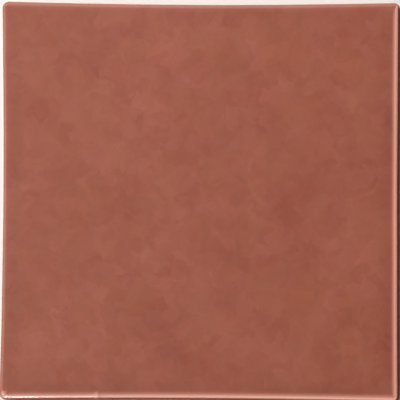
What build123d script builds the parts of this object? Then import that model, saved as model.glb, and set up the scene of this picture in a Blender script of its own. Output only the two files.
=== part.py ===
from build123d import *
import os
from math import cos, pi, radians, sin

# Square glazed wall tile, pressed and fired as one piece. It lies on its back with the glaze upwards:
# X runs to the right, Y runs away and Z runs up. Sizes are in millimetres and angles in degrees.

# Overall size
tile_width = 132.0
tile_length = 132.0
tile_thickness = 8.5  # from the back up to the mean level of the glazed face

# Outline: firing drew three corners in, and each side in between its corners
near_left_inset = 0.60  # along Y, so the near side leans
far_right_inset = 0.25  # along Y, so the far side leans
far_left_inset = 0.80  # along X, so the left side leans
left_bow = 0.90
right_bow = 0.25
near_bow = 0.55
far_bow = 0.95
corner_radius = 2.2

# Section of the edge, from the face down to the back
rim_radius = 1.45  # roll from the glazed face into the side
bevel_height = 3.6  # the side is upright above this level and leans in below it
bevel_angle = 5.0  # from upright
back_radius = 0.5  # round between the bevel and the back

# Glazed face: three crossing trains of shallow waves, and a slight fall towards the rim
long_wave_height = 0.080
long_wave_spacing = 61.0
cross_wave_height = 0.060
cross_wave_spacing = 43.0
short_wave_height = 0.045
short_wave_spacing = 34.0
edge_fall = 0.12
edge_fall_power = 4  # a higher power keeps the fall closer to the rim
surface_overlap = 4.0  # the surface that carries the waves runs past the outline
surface_samples = 21  # points along each side of that surface
surface_tolerance = 0.002

# Waffle back: square pockets between ribs, for the bedding mortar to key into
pocket_rows = 8
rib_width = 3.0
back_border = 7.0  # from the nominal side of the tile to the first pocket
pocket_depth = 0.7
pocket_corner_cut = 1.5
pocket_draft = 25.0  # from upright

# Crest height, spacing, heading and phase of each train of waves
waves = (
    (long_wave_height, long_wave_spacing, 24.0, 35.0),
    (cross_wave_height, cross_wave_spacing, 131.0, 210.0),
    (short_wave_height, short_wave_spacing, 78.0, 120.0),
)

half_width = tile_width / 2
half_length = tile_length / 2

# Corners of the outline and the points that its sides bow through
near_left = (-half_width, -half_length + near_left_inset)
near_right = (half_width, -half_length)
far_right = (half_width, half_length - far_right_inset)
far_left = (-half_width + far_left_inset, half_length)
near_middle = (0, -half_length + near_left_inset / 2 + near_bow)
right_middle = (half_width - right_bow, -far_right_inset / 2)
far_middle = (far_left_inset / 2, half_length - far_right_inset / 2 - far_bow)
left_middle = (-half_width + far_left_inset / 2 + left_bow, near_left_inset / 2)

# The blank stands higher than the waves, which then trim it
blank_height = tile_thickness + sum(crest for crest, *_ in waves) + rim_radius

pocket_pitch_x = (tile_width - 2 * back_border + rib_width) / pocket_rows
pocket_pitch_y = (tile_length - 2 * back_border + rib_width) / pocket_rows


def face_height(x, y):
    """Height of the glazed face above the back."""
    height = tile_thickness
    for crest, spacing, heading, phase in waves:
        distance = x * cos(radians(heading)) + y * sin(radians(heading))
        height += crest * sin(2 * pi * distance / spacing + radians(phase))
    fall_x = abs(x / half_width) ** edge_fall_power
    fall_y = abs(y / half_length) ** edge_fall_power
    return height - edge_fall * (fall_x + fall_y)


def wavy_surface():
    """Surface of the glazed face, with its front upwards and running past the outline."""
    steps = [2 * i / (surface_samples - 1) - 1 for i in range(surface_samples)]
    across = [step * (half_width + surface_overlap) for step in steps]
    along = [step * (half_length + surface_overlap) for step in steps]
    points = [[Vector(x, y, face_height(x, y)) for y in along] for x in across]
    return Face.make_surface_from_array_of_points(points, tol=surface_tolerance)


with BuildPart() as tile:
    # Blank: upright above the bevel and leaning in below it
    with BuildSketch(Plane.XY.offset(bevel_height)) as outline:
        with BuildLine():
            ThreePointArc(near_left, near_middle, near_right)
            ThreePointArc(near_right, right_middle, far_right)
            ThreePointArc(far_right, far_middle, far_left)
            ThreePointArc(far_left, left_middle, near_left)
        make_face()
        fillet(outline.vertices(), corner_radius)
    extrude(outline.sketch, amount=blank_height - bevel_height)
    extrude(outline.sketch, amount=-bevel_height, taper=bevel_angle)

    # Wavy glazed face with its rolled rim
    split(bisect_by=wavy_surface(), keep=Keep.BOTTOM)
    glazed_face = tile.faces().sort_by(Axis.Z)[-1]
    fillet(glazed_face.edges(), rim_radius)

    # Waffle back
    back = tile.faces().sort_by(Axis.Z)[0]
    fillet(back.edges(), back_radius)
    with BuildSketch() as pockets:
        with GridLocations(pocket_pitch_x, pocket_pitch_y, pocket_rows, pocket_rows):
            Rectangle(pocket_pitch_x - rib_width, pocket_pitch_y - rib_width)
        chamfer(pockets.vertices(), pocket_corner_cut)
    extrude(pockets.sketch, amount=pocket_depth, taper=pocket_draft, mode=Mode.SUBTRACT)

tile.part.label = "tile"
os.makedirs("parts", exist_ok=True)
export_step(tile.part, "parts/tile.step")
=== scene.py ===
from math import cos, pi, radians, sin, tan

import bpy
import numpy as np
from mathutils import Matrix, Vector
from mathutils.geometry import intersect_sphere_sphere_2d


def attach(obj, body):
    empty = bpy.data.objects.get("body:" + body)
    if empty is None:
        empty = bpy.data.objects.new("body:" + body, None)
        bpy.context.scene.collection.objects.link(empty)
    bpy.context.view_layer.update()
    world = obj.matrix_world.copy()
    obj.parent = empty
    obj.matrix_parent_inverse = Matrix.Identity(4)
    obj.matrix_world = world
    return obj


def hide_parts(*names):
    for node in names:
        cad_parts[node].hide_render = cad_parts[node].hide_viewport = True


# A square glazed wall tile lying on its back, seen from straight above: X runs to the right and Y runs away.
# Lengths are in metres, and angles in degrees unless a comment says otherwise.
MM = 0.001

# Sizes that the part's source gives the tile
TILE_WIDTH = 132 * MM
TILE_LENGTH = 132 * MM
TILE_THICKNESS = 8.5 * MM
NEAR_LEFT_INSET, FAR_RIGHT_INSET, FAR_LEFT_INSET = 0.60 * MM, 0.25 * MM, 0.80 * MM
NEAR_BOW, RIGHT_BOW, FAR_BOW, LEFT_BOW = 0.55 * MM, 0.25 * MM, 0.95 * MM, 0.90 * MM
CORNER_RADIUS = 2.2 * MM
RIM_RADIUS = 1.45 * MM
BEVEL_HEIGHT = 3.6 * MM
BEVEL_ANGLE = 5
BACK_RADIUS = 0.5 * MM
EDGE_FALL = 0.12 * MM
EDGE_FALL_POWER = 4
POCKET_ROWS = 8
RIB_WIDTH = 3.0 * MM
BACK_BORDER = 7.0 * MM
POCKET_DEPTH = 0.7 * MM
POCKET_CORNER_CUT = 1.5 * MM
POCKET_DRAFT = 25
# Crest height, spacing, heading and phase of each train of waves on the glazed face
WAVES = (
    (0.080 * MM, 61 * MM, 24, 35),
    (0.060 * MM, 43 * MM, 131, 210),
    (0.045 * MM, 34 * MM, 78, 120),
)

# Fine relief that the scene adds. The ripples have the form of the waves.
RIPPLES = (
    (0.010 * MM, 17 * MM, 52, 10),
    (0.008 * MM, 13 * MM, 163, 95),
    (0.006 * MM, 9.5 * MM, 104, 250),
    (0.004 * MM, 6.8 * MM, 12, 320),
)
GLAZE_THICKNESS = 0.12 * MM
GLAZE_EDGE_HEIGHT = 3.0 * MM  # the glaze stops about this far above the back
GLAZE_EDGE_SWING = 0.275 * MM
# Waves of the glaze's lower edge: number round the tile, share of the swing, and phase in radians
GLAZE_EDGE_WAVES = ((5, 1.0, 0.6), (11, 0.7, 2.1), (23, 0.45, 4.0))
# Round of the glaze's lower edge: drop below the edge, and share of the thickness that it has sunk by
GLAZE_EDGE_ROUND = ((0.06 * MM, 0.25), (0.11 * MM, 0.65), (0.15 * MM, 1.0))
# Beads of glaze that set on the rim: middle and radius of each
BEADS = (
    ((-33.7 * MM, -63.65 * MM, 8.5 * MM), 1.8 * MM),
    ((-64.2 * MM, -63.0 * MM, 8.3 * MM), 1.2 * MM),
)
BEAD_HEIGHT = 0.25 * MM

# Glaze over the rim, whose colour carries a painted highlight and a painted shade. Four values are for the
# near, right, far and left side, and an inset is the distance inwards from the outline.
# Paleness over the rim: thin glaze, and on the near and right sides also a painted highlight.
THINNING_AND_PAINTED_HIGHLIGHT = (2.25, 2.5, 0.30, 0.06)  # on the crest of the rim; past 1, a band of it is fully pale
CREST_INSET = (0.6 * MM, 0.95 * MM, 0, 0)
PALE_BAND_WIDTH = (2.6 * MM, 2.3 * MM, 3.2 * MM, 2.8 * MM)
GLAZE_POOLING = (0.13, 0.14, 0.02, 0.11)  # just inside the rim
POOL_INSET = 4.0 * MM
POOL_WIDTH = 2.2 * MM
# Where the gloss is lost, the pale colour is taken away too, which is part of the painted shade on the outer
# side of the near and right rims.
GLAZE_DULLING = (1.0, 1.0, 0.0, 0.0)  # loss of gloss and of the pale colour over the outer side of the rim
DULL_INSETS = (0.3 * MM, 0.9 * MM)  # the gloss is lost up to the first and whole from the second
PAINTED_ROLL_SHADE = (0.0, 0.6, 0.0, 0.0)  # painted shade over the outer side of the rim
# The painted shade on the outer side of the rim is whole outwards of this inset and fades over this width.
SHADED_ROLL_INSET = (0.40 * MM, 0.95 * MM, 0, 0)
SHADED_ROLL_WIDTH = 0.90 * MM
CORNER_BLEND = 1.0 * MM  # one side passes into the next over about this length

# Divisions of the mesh
BORDER_CELLS = 6
CORNER_CELLS = 8
BEAD_LINES = 5  # extra grid lines across a bead
POCKET_WALL_LINES = np.array((-0.30, -0.06, 0.08, 0.20, 0.34, 0.65, 1.10, 1.60)) * MM  # from a pocket's lip
POCKET_FLOOR_LINES = 4
STRIP_SHARES = (0.35, 0.7, 1.0)  # rings on the strip of face before the roll
ROLL_RINGS = 12
SIDE_RINGS = 6
BISCUIT_RINGS = 6
BACK_ROUND_RINGS = 4

# Colours, linear
GLAZE_DARK = (0.265, 0.050, 0.0245, 1)
GLAZE_LIGHT = (0.370, 0.099, 0.0605, 1)
GLAZE_OCHRE = (0.320, 0.088, 0.026, 1)
GLAZE_UMBER = (0.270, 0.088, 0.055, 1)
# Pale colour of thin glaze, also the painted highlight on the near and right rims and on the beads.
THIN_GLAZE_AND_PAINTED_HIGHLIGHT = (0.770, 0.350, 0.262, 1)
# Dark colour of pooled glaze, also the painted shade on the outer side of the right rim.
POOLED_GLAZE_AND_PAINTED_SHADE = (0.120, 0.020, 0.008, 1)
BISCUIT_DARK = (0.40, 0.22, 0.15, 1)
BISCUIT_LIGHT = (0.56, 0.36, 0.26, 1)
FLOOR_COLOUR = (0.82, 0.78, 0.75, 1)
BACKDROP_COLOUR = (1.0, 0.98, 0.96, 1)

# Mottle of the glaze
WANDERS = ((7 * MM, 9 * MM, 1), (2 * MM, 3 * MM, 2))  # size, reach and seed of what bends the patches' edges
CLOUDS = ((24 * MM, 3, 0.55), (13 * MM, 4, 0.45))  # size, seed and weight
PATCHES = ((8 * MM, 0.40, 0.28), (3.6 * MM, 0.35, 0.36), (1.7 * MM, 0.30, 0.19))  # size, softness and weight
TONE_POWER = 1.2  # more than 1 favours the dark tones
OCHRE_SHARE = 0.30  # at most, in a large patch
UMBER_SHARE = 0.26  # at most, in a middling patch

# Short marks in the glaze. Each noise has a size and a seed, and the ranges are of its value.
STROKE_LINES = (6 * MM, 7)
STROKE_HALF_WIDTH = 0.02
STROKE_PLACES = (3.5 * MM, 8)
STROKE_PLACE_RANGE = (0.54, 0.66)
STROKE_TONES = (8 * MM, 9)
STROKE_TONE_RANGE = (0.4, 0.6)
STROKE_DARKEST = -0.4  # the lightest is 1 more
STROKE_STRENGTH = 0.4

# Gloss of the glaze, and the surface of the bare clay
GLAZE_ROUGHNESS = (0.03, 0.08)
SHEEN_SPOT_SIZE = 4 * MM
DULL_ROUGHNESS = 0.4  # added where the gloss is lost
GLAZE_SPECULAR = 0.5  # taken away where the gloss is lost
GLAZE_IOR = 1.5
DIMPLE_SIZE, DIMPLE_DEPTH, DIMPLE_STRENGTH = 3.5 * MM, 0.02 * MM, 0.08
SPECKLE_SIZE, SPECKLE_DEPTH, SPECKLE_STRENGTH = 0.7 * MM, 0.08 * MM, 0.5
BISCUIT_PATCH_SIZE = 9 * MM
BISCUIT_TONE_RANGE = (0.32, 0.68)
MATT_ROUGHNESS = 0.9

# Stage
FLOOR_SIZE = 5.0
FLOOR_GAP = 0.01 * MM
AMBIENT = 0.43  # mean strength of the studio's light on the face
BACKDROP = 0.85  # strength that the camera and the glaze see overhead
GLOW_AZIMUTH = 165  # the studio is bright on this side and dark on the opposite one
GLOW_POWER = 3
GLOW_MEAN = 1.75  # mean of the glow over all that the face sees
GLOW_SLOPE = 1.3  # share by which the backdrop rises from overhead to the horizon on the bright side
# Lamps: name, azimuth anticlockwise from +X, elevation, distance, width, height, radiance and shift aside
KEY_LAMP = ("key", 132, 54, 1.15, 0.486, 0.486, 14.2, 0.0)
RIM_LAMPS = (
    ("right_strip", 0, 54, 0.8, 0.9, 0.42, 3.0, 0.0),
    ("far_strip", 90, 50, 0.8, 0.9, 0.50, 1.0, 0.0),
    ("left_strip", 180, 40, 0.8, 0.9, 0.60, 0.7, 0.0),
    ("near_strip", 270, 54, 0.8, 0.9, 0.42, 2.8, 0.0),
    ("near_window", 270, 54.5, 0.7, 0.040, 0.26, 20.0, -0.199),
    ("near_pane", 270, 54.5, 0.7, 0.066, 0.26, 5.5, -0.146),
    ("corner_window", 225, 36, 0.7, 0.20, 0.30, 6.0, 0.0),
)

# Camera. The photograph is 400 pixels wide and shows 3.036 pixels for each millimetre of the outline.
FRAME_PIXELS = 400
PIXELS_PER_METRE = 3036
CAMERA_LENS = 85
SENSOR_WIDTH = 36
OUTLINE_LEVEL = TILE_THICKNESS - RIM_RADIUS
CAMERA_HEIGHT = OUTLINE_LEVEL + FRAME_PIXELS * CAMERA_LENS / SENSOR_WIDTH / PIXELS_PER_METRE
CAMERA_OFFSET = (0.08 * MM, 0.64 * MM)
CAMERA_ROLL = 0.12

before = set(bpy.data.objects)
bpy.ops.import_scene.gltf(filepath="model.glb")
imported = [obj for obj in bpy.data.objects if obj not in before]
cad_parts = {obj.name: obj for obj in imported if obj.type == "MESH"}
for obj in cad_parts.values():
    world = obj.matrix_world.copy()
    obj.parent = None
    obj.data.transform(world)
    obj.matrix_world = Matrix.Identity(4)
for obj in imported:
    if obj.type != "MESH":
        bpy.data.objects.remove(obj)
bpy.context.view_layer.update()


# Shape of the tile


def wave_height(x, y, trains):
    """Sum of trains of waves, each given by crest height, spacing, heading and phase."""
    height = np.zeros_like(x)
    for crest, spacing, heading, phase in trains:
        distance = x * cos(radians(heading)) + y * sin(radians(heading))
        height += crest * np.sin(2 * pi * distance / spacing + radians(phase))
    return height


def face_height(x, y):
    """Height of the glazed face above the back."""
    fall_x = np.abs(x / (TILE_WIDTH / 2)) ** EDGE_FALL_POWER
    fall_y = np.abs(y / (TILE_LENGTH / 2)) ** EDGE_FALL_POWER
    level = TILE_THICKNESS - EDGE_FALL * (fall_x + fall_y)
    return level + wave_height(x, y, WAVES) + wave_height(x, y, RIPPLES)


class Side:
    """One bowed side of the outline, drawn in by the corner radius, as an arc between two corners."""

    def __init__(self, start, end, bow):
        start, end = Vector(start), Vector(end)
        chord = end - start
        inward = Vector((-chord.y, chord.x)).normalized()
        radius = chord.length_squared / (8 * bow) + bow / 2
        self.centre = (start + end) / 2 + inward * (bow - radius)
        self.radius = radius + CORNER_RADIUS
        self.corner = end
        self.runs_along_x = abs(chord.x) > abs(chord.y)

    def meet(self, other):
        """Point near this side's end where it meets the next side."""
        points = intersect_sphere_sphere_2d(self.centre, self.radius, other.centre, other.radius)
        return min(points, key=lambda point: (point - self.corner).length)

    def reach(self, along):
        """The side's other coordinate, at places along it."""
        along_axis = 0 if self.runs_along_x else 1
        across_axis = 1 - along_axis
        rise = np.sqrt(self.radius**2 - (along - self.centre[along_axis]) ** 2)
        return self.centre[across_axis] - np.sign(self.centre[across_axis]) * rise

    def outward(self, points):
        """Unit vectors from points on the side towards the outside of the tile."""
        towards = np.array(self.centre) - points
        return towards / np.linalg.norm(towards, axis=1)[:, None]


def outline_sides():
    """The four sides, anticlockwise from the near one."""
    half_x, half_y = TILE_WIDTH / 2, TILE_LENGTH / 2
    near_left, near_right = (-half_x, -half_y + NEAR_LEFT_INSET), (half_x, -half_y)
    far_left, far_right = (-half_x + FAR_LEFT_INSET, half_y), (half_x, half_y - FAR_RIGHT_INSET)
    return (
        Side(near_left, near_right, NEAR_BOW),
        Side(near_right, far_right, RIGHT_BOW),
        Side(far_right, far_left, FAR_BOW),
        Side(far_left, near_left, LEFT_BOW),
    )


def pocket_pitch(length):
    """Distance from pocket to pocket along one axis."""
    return (length - 2 * BACK_BORDER + RIB_WIDTH) / POCKET_ROWS


def pocket_lines(length):
    """Grid lines across the field of pockets along one axis, close together at the pockets' walls."""
    pitch = pocket_pitch(length)
    pocket = pitch - RIB_WIDTH
    foot = POCKET_WALL_LINES[-1]
    floor = np.linspace(foot, pocket - foot, POCKET_FLOOR_LINES + 2)[1:-1]
    one = np.concatenate((POCKET_WALL_LINES, floor, (pocket - POCKET_WALL_LINES)[::-1]))
    starts = (np.arange(POCKET_ROWS) - POCKET_ROWS / 2) * pitch + RIB_WIDTH / 2
    ribs = starts[1:] - RIB_WIDTH / 2
    return np.sort(np.concatenate([start + one for start in starts] + [ribs]))


def bead_lines(lines):
    """Grid lines across the tile, with more of them where a bead lies among them."""
    steps = np.linspace(-1, 1, BEAD_LINES + 2)[1:-1]
    extra = np.concatenate([middle[0] + radius * steps for middle, radius in BEADS])
    return np.sort(np.concatenate((lines, extra[np.abs(extra) < lines[-1]])))


def spread(lines, low, high):
    """Rows of grid lines that keep to the pockets and stretch in the border to reach low and high."""
    share = np.linspace(0, 1, BORDER_CELLS + 1)[:-1]
    low, high = np.asarray(low)[:, None], np.asarray(high)[:, None]
    near = low + (lines[0] - low) * share
    far = high + (lines[-1] - high) * share[::-1]
    return np.concatenate((near, np.broadcast_to(lines, (len(low), len(lines))), far), axis=1)


def tile_grid(sides):
    """Places of the grid that covers the face and the back, up to the sides drawn in by the corner radius."""
    near, right, far, left = sides
    near_left, near_right = left.meet(near), near.meet(right)
    far_right, far_left = right.meet(far), far.meet(left)
    x_lines, y_lines = bead_lines(pocket_lines(TILE_WIDTH)), pocket_lines(TILE_LENGTH)
    near_x, far_x = spread(x_lines, (near_left.x, far_left.x), (near_right.x, far_right.x))
    left_y, right_y = spread(y_lines, (near_left.y, near_right.y), (far_left.y, far_right.y))
    x = spread(x_lines, left.reach(left_y), right.reach(right_y))
    y = spread(y_lines, near.reach(near_x), far.reach(far_x)).T
    return x, y


def smooth(share):
    """Eases a share that runs from 0 to 1 at both of its ends."""
    return share * share * (3 - 2 * share)


def fall(value, low, high):
    """Falls smoothly from 1 at the low value to 0 at the high one."""
    return smooth(np.clip((high - value) / (high - low), 0, 1))


def pocket_height(x, y):
    """Height of the back's surface, which rises into each pocket."""
    inside = []
    for place, length in ((x, TILE_WIDTH), (y, TILE_LENGTH)):
        pitch = pocket_pitch(length)
        half = (pitch - RIB_WIDTH) / 2
        field = POCKET_ROWS * pitch / 2
        within = np.abs((place + field) % pitch - pitch / 2)
        inside.append(np.where(np.abs(place) < field, half - within, -RIB_WIDTH))
    depth = np.minimum(inside[0], inside[1])
    corner = (inside[0] + inside[1] - POCKET_CORNER_CUT) / np.sqrt(2)
    wall_width = POCKET_DEPTH * tan(radians(POCKET_DRAFT))
    return POCKET_DEPTH * smooth(np.clip(np.minimum(depth, corner) / wall_width, 0, 1))


def bead_share(points):
    """How far into a bead of glaze each point lies: 0 at its edge and 1 in its middle."""
    share = np.zeros(len(points))
    for middle, radius in BEADS:
        share += fall(np.linalg.norm(points - np.array(middle), axis=1), 0, radius)
    return share


def raise_beads(points, outward, turn):
    """Points of the surface, lifted where a bead lies. Their normals are turned outwards, in radians."""
    upright = np.full(len(points), cos(turn))
    normal = np.column_stack((outward * sin(turn), upright))
    return points + BEAD_HEIGHT * bead_share(points)[:, None] * normal


def edge_rings(sides, x, y):
    """Base points, outward directions and grid vertices of the rings that run round the tile's edge."""
    rows, columns = x.shape
    index = np.arange(rows * columns).reshape(rows, columns)
    runs = (index[0], index[:, -1], index[-1, ::-1], index[::-1, 0])
    points = np.stack((x.ravel(), y.ravel()), axis=1)
    roots, directions = [], []
    for number, (side, run) in enumerate(zip(sides, runs)):
        following = sides[(number + 1) % len(sides)]
        outward = side.outward(points[run])
        last, first = outward[-1], following.outward(points[run[-1:]])[0]
        turn = np.linspace(0, pi / 2, CORNER_CELLS + 1)[1:-1, None]
        fan = last * np.cos(turn) + first * np.sin(turn)
        fan /= np.linalg.norm(fan, axis=1)[:, None]
        roots += [*run, *[run[-1]] * len(fan)]
        directions += [*outward, *fan]
    roots = np.array(roots)
    return points[roots], np.array(directions), roots


def side_offset(height):
    """Distance of the side from the rings' base at a height: even above the bevel and less below it."""
    return CORNER_RADIUS - tan(radians(BEVEL_ANGLE)) * np.maximum(BEVEL_HEIGHT - height, 0)


def edge_profile(base, outward):
    """Rings of vertices from the face over the rim and down the side to the back, and the first bare ring."""
    rings = []

    def add(offset, height, turn=pi / 2):
        place = base + outward * np.broadcast_to(offset, len(base))[:, None]
        points = np.column_stack((place, np.broadcast_to(height, len(base))))
        rings.append(raise_beads(points, outward, turn))

    # Strip of the face, then the roll of the rim
    roll_start = CORNER_RADIUS - RIM_RADIUS
    for share in STRIP_SHARES:
        place = base + outward * roll_start * share
        top = face_height(place[:, 0], place[:, 1])
        add(roll_start * share, top, turn=0)
    for turn in np.linspace(0, pi / 2, ROLL_RINGS + 1)[1:]:
        add(roll_start + RIM_RADIUS * sin(turn), top - RIM_RADIUS * (1 - cos(turn)), turn)

    # Glazed side, ending in an uneven edge with a soft round
    angle = np.arctan2(base[:, 1], base[:, 0])
    swing = sum(share * np.sin(number * angle + phase) for number, share, phase in GLAZE_EDGE_WAVES)
    edge = GLAZE_EDGE_HEIGHT + GLAZE_EDGE_SWING * swing
    roll_foot = rings[-1][:, 2]
    for share in np.linspace(0, 1, SIDE_RINGS + 1)[1:]:
        height = roll_foot * (1 - share) + edge * share
        add(side_offset(height), height)
    for drop, sunk in GLAZE_EDGE_ROUND:
        add(side_offset(edge - drop) - GLAZE_THICKNESS * sunk, edge - drop)
    first_bare = len(rings) - 1

    # Bare biscuit, the round at the back, and one ring on the back's border
    bare_top = rings[-1][:, 2]
    for share in np.linspace(0, 1, BISCUIT_RINGS + 1)[1:]:
        height = bare_top * (1 - share) + BACK_RADIUS * share
        add(side_offset(height) - GLAZE_THICKNESS, height)
    foot = side_offset(BACK_RADIUS) - GLAZE_THICKNESS - BACK_RADIUS
    for turn in np.linspace(0, pi / 2, BACK_ROUND_RINGS + 1)[1:]:
        add(foot + BACK_RADIUS * cos(turn), BACK_RADIUS * (1 - sin(turn)))
    add(foot / 2, 0)
    return rings, first_bare


def side_gaps(sides, x, y):
    """Distance of each point from the four sides, drawn in by the corner radius."""
    near, right, far, left = sides
    return np.column_stack((y - near.reach(x), right.reach(y) - x, far.reach(x) - y, x - left.reach(y)))


def nearest_sides(gaps):
    """Share of each side in what happens at a point, which passes smoothly from side to side at a corner."""
    shares = np.exp((gaps.min(axis=1)[:, None] - gaps) / CORNER_BLEND)
    return shares / shares.sum(axis=1)[:, None]


def facing_sides(outward):
    """Share of each side in a direction that points out of the tile."""
    facing = np.column_stack((-outward[:, 1], outward[:, 0], outward[:, 1], -outward[:, 0]))
    return np.maximum(facing, 0) ** 2


def ring_inset(ring, base):
    """Distance of a ring's points from the outline in plan, which is nothing on the side."""
    inset = CORNER_RADIUS - np.linalg.norm(ring[:, :2] - base, axis=1)
    return np.where(ring[:, 2] > BEVEL_HEIGHT, np.maximum(inset, 0), 0)


def glaze_finish(inset, shares):
    """How pale, how dark and how dull the glaze is at an inset, on the sides that have a share in it. The
    pale colour is thin glaze and a painted highlight, and the dark colour is pooled glaze and a painted shade
    on the outer side of the rim.
    """
    past_crest = np.maximum(inset - shares @ CREST_INSET, 0) / (shares @ PALE_BAND_WIDTH)
    thin_and_highlight = (shares @ THINNING_AND_PAINTED_HIGHLIGHT) * np.maximum(1 - past_crest, 0) ** 2
    dulling = shares @ GLAZE_DULLING
    # Painted shade on the outer side of the rim: it takes away the pale colour and adds the dark one.
    roll_shade = fall(inset - shares @ SHADED_ROLL_INSET, 0, SHADED_ROLL_WIDTH)
    thin_and_highlight = np.minimum(thin_and_highlight, 1) * (1 - dulling * roll_shade)
    pool_and_shade = (shares @ GLAZE_POOLING) * np.exp(-(((inset - POOL_INSET) / POOL_WIDTH) ** 2))
    pool_and_shade += (shares @ PAINTED_ROLL_SHADE) * roll_shade
    return thin_and_highlight, pool_and_shade, dulling * fall(inset, *DULL_INSETS)


def grid_faces(shape, first, flip):
    """Quads of a grid of vertices that starts at the given index."""
    index = first + np.arange(shape[0] * shape[1]).reshape(shape)
    corners = (index[:-1, :-1], index[:-1, 1:], index[1:, 1:], index[1:, :-1])
    faces = np.stack(corners[::-1] if flip else corners, axis=-1)
    return faces.reshape(-1, 4).tolist()


def ring_faces(loops):
    """Faces from loop to loop of vertex numbers. Where a loop stands still, they are triangles."""
    faces = []
    for inner, outer in zip(loops, loops[1:]):
        inner_after, outer_after = np.roll(inner, -1), np.roll(outer, -1)
        quads = np.column_stack((inner, outer, outer_after, inner_after))
        faces += [list(dict.fromkeys(quad)) for quad in quads.tolist()]
    return faces


def tile_mesh():
    """The whole tile as one closed mesh, with its glazed faces in the first material slot."""
    sides = outline_sides()
    x, y = tile_grid(sides)
    base, outward, roots = edge_rings(sides, x, y)
    rings, first_bare = edge_profile(base, outward)
    face = np.column_stack((x.ravel(), y.ravel(), face_height(x, y).ravel()))
    face = raise_beads(face, np.zeros((len(face), 2)), turn=0)
    back = np.column_stack((x.ravel(), y.ravel(), pocket_height(x, y).ravel()))
    vertices = np.concatenate((face, *rings, back))

    back_start = len(vertices) - len(back)
    ring_loops = np.arange(len(face), back_start).reshape(len(rings), len(base))
    loops = [roots, *ring_loops, back_start + roots]
    glazed = grid_faces(x.shape, 0, flip=False) + ring_faces(loops[:first_bare + 2])
    bare = ring_faces(loops[first_bare + 1:]) + grid_faces(x.shape, back_start, flip=True)
    mesh = bpy.data.meshes.new("glazed_tile")
    mesh.from_pydata(vertices.tolist(), [], glazed + bare)
    mesh.validate()
    slots = np.ones(len(mesh.polygons), np.int32)
    slots[:len(glazed)] = 0
    mesh.polygons.foreach_set("material_index", slots)

    gaps = side_gaps(sides, x.ravel(), y.ravel())
    grid_finish = glaze_finish(gaps.min(axis=1) + CORNER_RADIUS, nearest_sides(gaps))
    ring_shares = facing_sides(outward)
    ring_finish = [glaze_finish(ring_inset(ring, base), ring_shares) for ring in rings]
    thin_and_highlight, pool_and_shade, dull = np.concatenate((grid_finish, *ring_finish, grid_finish), axis=1)
    # The beads are painted pale, as thin glaze and as a painted glint.
    thin_and_highlight = np.maximum(thin_and_highlight, bead_share(vertices))
    for name, values in (("glaze_thin_and_painted_highlight", thin_and_highlight), ("glaze_pool_and_painted_shade", pool_and_shade), ("glaze_dull", dull)):
        attribute = mesh.attributes.new(name, "FLOAT", "POINT")
        attribute.data.foreach_set("value", values)
    mesh.shade_smooth()
    mesh.update()
    return mesh


# Finish


def add_node(tree, kind, inputs=None, **settings):
    """Adds a shader node. An input is a value, or the output socket that feeds it."""
    node = tree.nodes.new(kind)
    for name, value in settings.items():
        setattr(node, name, value)
    for name, value in (inputs or {}).items():
        if isinstance(value, bpy.types.NodeSocket):
            tree.links.new(value, node.inputs[name])
        else:
            node.inputs[name].default_value = value
    return node


def new_material(name):
    """An empty material with a Principled shader on its output, and the object's coordinates."""
    material = bpy.data.materials.new(name)
    material.use_nodes = True
    tree = material.node_tree
    tree.nodes.clear()
    shader = add_node(tree, "ShaderNodeBsdfPrincipled")
    add_node(tree, "ShaderNodeOutputMaterial", {"Surface": shader.outputs[0]})
    place = add_node(tree, "ShaderNodeTexCoord").outputs["Object"]
    return material, tree, shader, place


def noise(tree, place, size, detail=2.0, roughness=0.5, seed=0.0):
    """Noise with features of about the given size in metres, around one half."""
    inputs = {"Vector": place, "W": seed, "Scale": 1 / size, "Detail": detail, "Roughness": roughness}
    return add_node(tree, "ShaderNodeTexNoise", inputs, noise_dimensions="4D").outputs["Fac"]


def math_node(tree, operation, first, second=0.0, third=0.0):
    """Result of one arithmetic step."""
    inputs = {0: first, 1: second, 2: third}
    return add_node(tree, "ShaderNodeMath", inputs, operation=operation).outputs[0]


def between(tree, share, low, high):
    """Runs from the low value to the high one with a share."""
    inputs = {"Value": share, "To Min": low, "To Max": high}
    return add_node(tree, "ShaderNodeMapRange", inputs).outputs["Result"]


def ease(tree, value, low, high):
    """Rises smoothly from 0 where the value is low to 1 where it is high."""
    inputs = {"Value": value, "From Min": low, "From Max": high}
    node = add_node(tree, "ShaderNodeMapRange", inputs, interpolation_type="SMOOTHSTEP")
    return node.outputs["Result"]


def mix_colour(tree, share, first, second):
    """Mixes two colours by a share. The node's colour sockets go by number, because their names repeat."""
    inputs = {0: share, 6: first, 7: second}
    return add_node(tree, "ShaderNodeMix", inputs, data_type="RGBA").outputs[2]


def attribute_value(tree, name):
    """A number that the mesh holds at each vertex."""
    return add_node(tree, "ShaderNodeAttribute", attribute_name=name).outputs["Fac"]


def add_bump(tree, shader, height, depth, strength):
    """Gives a shader a fine roughness that is too small for the mesh."""
    inputs = {"Strength": strength, "Distance": depth, "Height": height}
    bump = add_node(tree, "ShaderNodeBump", inputs)
    tree.links.new(bump.outputs[0], shader.inputs["Normal"])


def weighted(tree, parts):
    """One half, plus each noise's distance from one half times its weight."""
    total = 0.5 - sum(weight for _, weight in parts) / 2
    for value, weight in parts:
        total = math_node(tree, "MULTIPLY_ADD", value, weight, total)
    return total


def warped(tree, place, size, reach, seed):
    """Places pushed about by noise, for patterns with wandering edges."""
    inputs = {"Vector": place, "W": seed, "Scale": 1 / size, "Detail": 1}
    push = add_node(tree, "ShaderNodeTexNoise", inputs, noise_dimensions="4D").outputs["Color"]
    scaled = {0: push, 1: (reach, reach, reach), 2: place}
    return add_node(tree, "ShaderNodeVectorMath", scaled, operation="MULTIPLY_ADD").outputs["Vector"]


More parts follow.
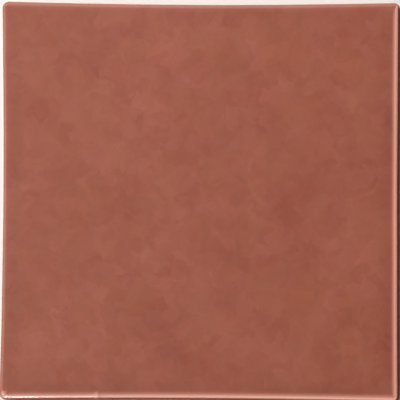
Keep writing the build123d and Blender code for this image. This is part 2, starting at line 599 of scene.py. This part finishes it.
def plates(tree, place, size, softness):
    """Three random numbers for each of the patches, of about the given size, that cover the surface."""
    inputs = {"Vector": place, "Scale": 1 / size, "Smoothness": softness}
    cells = add_node(tree, "ShaderNodeTexVoronoi", inputs, feature="SMOOTH_F1").outputs["Color"]
    return add_node(tree, "ShaderNodeSeparateColor", {"Color": cells}).outputs


def strokes(tree, place):
    """Sparse short curved marks, some lighter and some darker than the glaze around them."""
    size, seed = STROKE_LINES
    line = math_node(tree, "SUBTRACT", noise(tree, place, size, detail=1, seed=seed), 0.5)
    line = ease(tree, math_node(tree, "ABSOLUTE", line), STROKE_HALF_WIDTH, 0.0)
    size, seed = STROKE_PLACES
    where = ease(tree, noise(tree, place, size, detail=0, seed=seed), *STROKE_PLACE_RANGE)
    size, seed = STROKE_TONES
    tone = ease(tree, noise(tree, place, size, seed=seed), *STROKE_TONE_RANGE)
    tone = math_node(tree, "MULTIPLY", math_node(tree, "ADD", tone, STROKE_DARKEST), STROKE_STRENGTH)
    return math_node(tree, "MULTIPLY", math_node(tree, "MULTIPLY", line, where), tone)


def mottle(tree, place):
    """Colour of the glaze on the face: soft clouds and crossing patches of three sizes, with short marks."""
    clouds = [(noise(tree, place, size, detail=1, seed=seed), weight) for size, seed, weight in CLOUDS]
    wander = place
    for size, reach, seed in WANDERS:
        wander = warped(tree, wander, size, reach, seed)
    patches = [plates(tree, wander, size, softness) for size, softness, _ in PATCHES]
    shades = [(numbers[0], weight) for numbers, (_, _, weight) in zip(patches, PATCHES)]
    tone = math_node(tree, "MAXIMUM", weighted(tree, clouds + shades), 0.0)
    tone = math_node(tree, "ADD", math_node(tree, "POWER", tone, TONE_POWER), strokes(tree, place))
    colour = mix_colour(tree, tone, GLAZE_DARK, GLAZE_LIGHT)
    for numbers, share, hue in zip(patches, (OCHRE_SHARE, UMBER_SHARE), (GLAZE_OCHRE, GLAZE_UMBER)):
        colour = mix_colour(tree, math_node(tree, "MULTIPLY", numbers[1], share), colour, hue)
    return colour


def glaze_material():
    """Glossy terracotta glaze: cloudy and mottled, paler where it thins over the rim and where a highlight is
    painted, and darker where it pools and where a shade is painted on the outer side of the rim.
    """
    material, tree, shader, place = new_material("terracotta_glaze")
    # Pooled glaze and painted shade darken the mottle, and thin glaze and painted highlight make it pale.
    colour = mix_colour(tree, attribute_value(tree, "glaze_pool_and_painted_shade"), mottle(tree, place), POOLED_GLAZE_AND_PAINTED_SHADE)
    colour = mix_colour(tree, attribute_value(tree, "glaze_thin_and_painted_highlight"), colour, THIN_GLAZE_AND_PAINTED_HIGHLIGHT)
    sheen = between(tree, noise(tree, place, SHEEN_SPOT_SIZE, detail=3), *GLAZE_ROUGHNESS)
    dull = attribute_value(tree, "glaze_dull")
    rough = math_node(tree, "MULTIPLY_ADD", dull, DULL_ROUGHNESS, sheen)
    specular = math_node(tree, "MULTIPLY_ADD", dull, -GLAZE_SPECULAR, GLAZE_SPECULAR)
    for name, value in (("Base Color", colour), ("Roughness", rough), ("Specular IOR Level", specular)):
        tree.links.new(value, shader.inputs[name])
    shader.inputs["IOR"].default_value = GLAZE_IOR
    add_bump(tree, shader, noise(tree, place, DIMPLE_SIZE), DIMPLE_DEPTH, DIMPLE_STRENGTH)
    return material


def biscuit_material():
    """Matt fired clay with a fine speckle."""
    material, tree, shader, place = new_material("biscuit")
    speckle = noise(tree, place, SPECKLE_SIZE, detail=3, roughness=0.7)
    patch = noise(tree, place, BISCUIT_PATCH_SIZE, detail=3)
    tone = math_node(tree, "MULTIPLY", math_node(tree, "ADD", speckle, patch), 0.5)
    colour = mix_colour(tree, ease(tree, tone, *BISCUIT_TONE_RANGE), BISCUIT_DARK, BISCUIT_LIGHT)
    tree.links.new(colour, shader.inputs["Base Color"])
    shader.inputs["Roughness"].default_value = MATT_ROUGHNESS
    add_bump(tree, shader, speckle, SPECKLE_DEPTH, SPECKLE_STRENGTH)
    return material


# Stage


def add_object(name, data):
    """A new object in the scene."""
    made = bpy.data.objects.new(name, data)
    bpy.context.collection.objects.link(made)
    return made


def pale_floor():
    """Large plain floor just under the tile."""
    half = FLOOR_SIZE / 2
    mesh = bpy.data.meshes.new("floor")
    corners = [(-half, -half), (half, -half), (half, half), (-half, half)]
    mesh.from_pydata([(x, y, -FLOOR_GAP) for x, y in corners], [], [(0, 1, 2, 3)])
    material, _, shader, _ = new_material("floor")
    shader.inputs["Base Color"].default_value = FLOOR_COLOUR
    shader.inputs["Roughness"].default_value = MATT_ROUGHNESS
    shader.inputs["Specular IOR Level"].default_value = 0
    mesh.materials.append(material)
    floor = add_object("floor", mesh)


def soft_light(name, azimuth, elevation, distance, width, height, radiance, aside):
    """A flat lamp that faces the tile, moved aside in its own plane."""
    data = bpy.data.lights.new(name, "AREA")
    data.shape = "RECTANGLE"
    data.size, data.size_y = width, height
    data.energy = radiance * pi * width * height
    lamp = add_object(name, data)
    a, e = radians(azimuth), radians(elevation)
    centre = Vector((cos(a) * cos(e), sin(a) * cos(e), sin(e))) * distance
    turn = centre.to_track_quat("Z", "Y")
    lamp.rotation_euler = turn.to_euler()
    lamp.location = centre + turn @ Vector((aside, 0, 0))
    return lamp


def studio_lamps():
    """A key lamp that the glaze doesn't mirror, and lamps that show only in the glaze of the rim."""
    soft_light(*KEY_LAMP).visible_glossy = False
    for lamp in RIM_LAMPS:
        soft_light(*lamp).visible_diffuse = False


def studio_world():
    """Dim light, stronger from one side, in place of which the camera and the glaze see a pale backdrop."""
    world = bpy.data.worlds.new("studio")
    bpy.context.scene.world = world
    world.use_nodes = True
    tree = world.node_tree
    tree.nodes.clear()
    path = add_node(tree, "ShaderNodeLightPath").outputs
    seen = math_node(tree, "MAXIMUM", path["Is Camera Ray"], path["Is Glossy Ray"])
    seen = math_node(tree, "MAXIMUM", seen, path["Is Transmission Ray"])
    towards = (cos(radians(GLOW_AZIMUTH)), sin(radians(GLOW_AZIMUTH)), 0)
    directions = {0: add_node(tree, "ShaderNodeTexCoord").outputs["Generated"], 1: towards}
    along = add_node(tree, "ShaderNodeVectorMath", directions, operation="DOT_PRODUCT").outputs["Value"]
    light = math_node(tree, "POWER", math_node(tree, "ADD", along, 1.0), GLOW_POWER)
    light = math_node(tree, "MULTIPLY", light, AMBIENT / GLOW_MEAN)
    backdrop = math_node(tree, "MULTIPLY_ADD", along, GLOW_SLOPE, 1.0)
    backdrop = math_node(tree, "MULTIPLY", math_node(tree, "MAXIMUM", backdrop, 0.0), BACKDROP)
    inputs = {"Color": BACKDROP_COLOUR, "Strength": between(tree, seen, light, backdrop)}
    shade = add_node(tree, "ShaderNodeBackground", inputs)
    add_node(tree, "ShaderNodeOutputWorld", {"Surface": shade.outputs[0]})


def photo_camera():
    """Camera straight above the tile, a little off its middle and turned as in the photograph."""
    data = bpy.data.cameras.new("camera")
    data.lens = CAMERA_LENS
    data.sensor_width = SENSOR_WIDTH
    camera = add_object("camera", data)
    camera.location = (*CAMERA_OFFSET, CAMERA_HEIGHT)
    camera.rotation_euler = (0, 0, radians(CAMERA_ROLL))
    bpy.context.scene.camera = camera


tile = add_object("glazed_tile", tile_mesh())
tile.data.materials.append(glaze_material())
tile.data.materials.append(biscuit_material())
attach(tile, "root")
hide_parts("tile")

pale_floor()
studio_world()
studio_lamps()
photo_camera()
bpy.context.scene.view_settings.view_transform = "Standard"
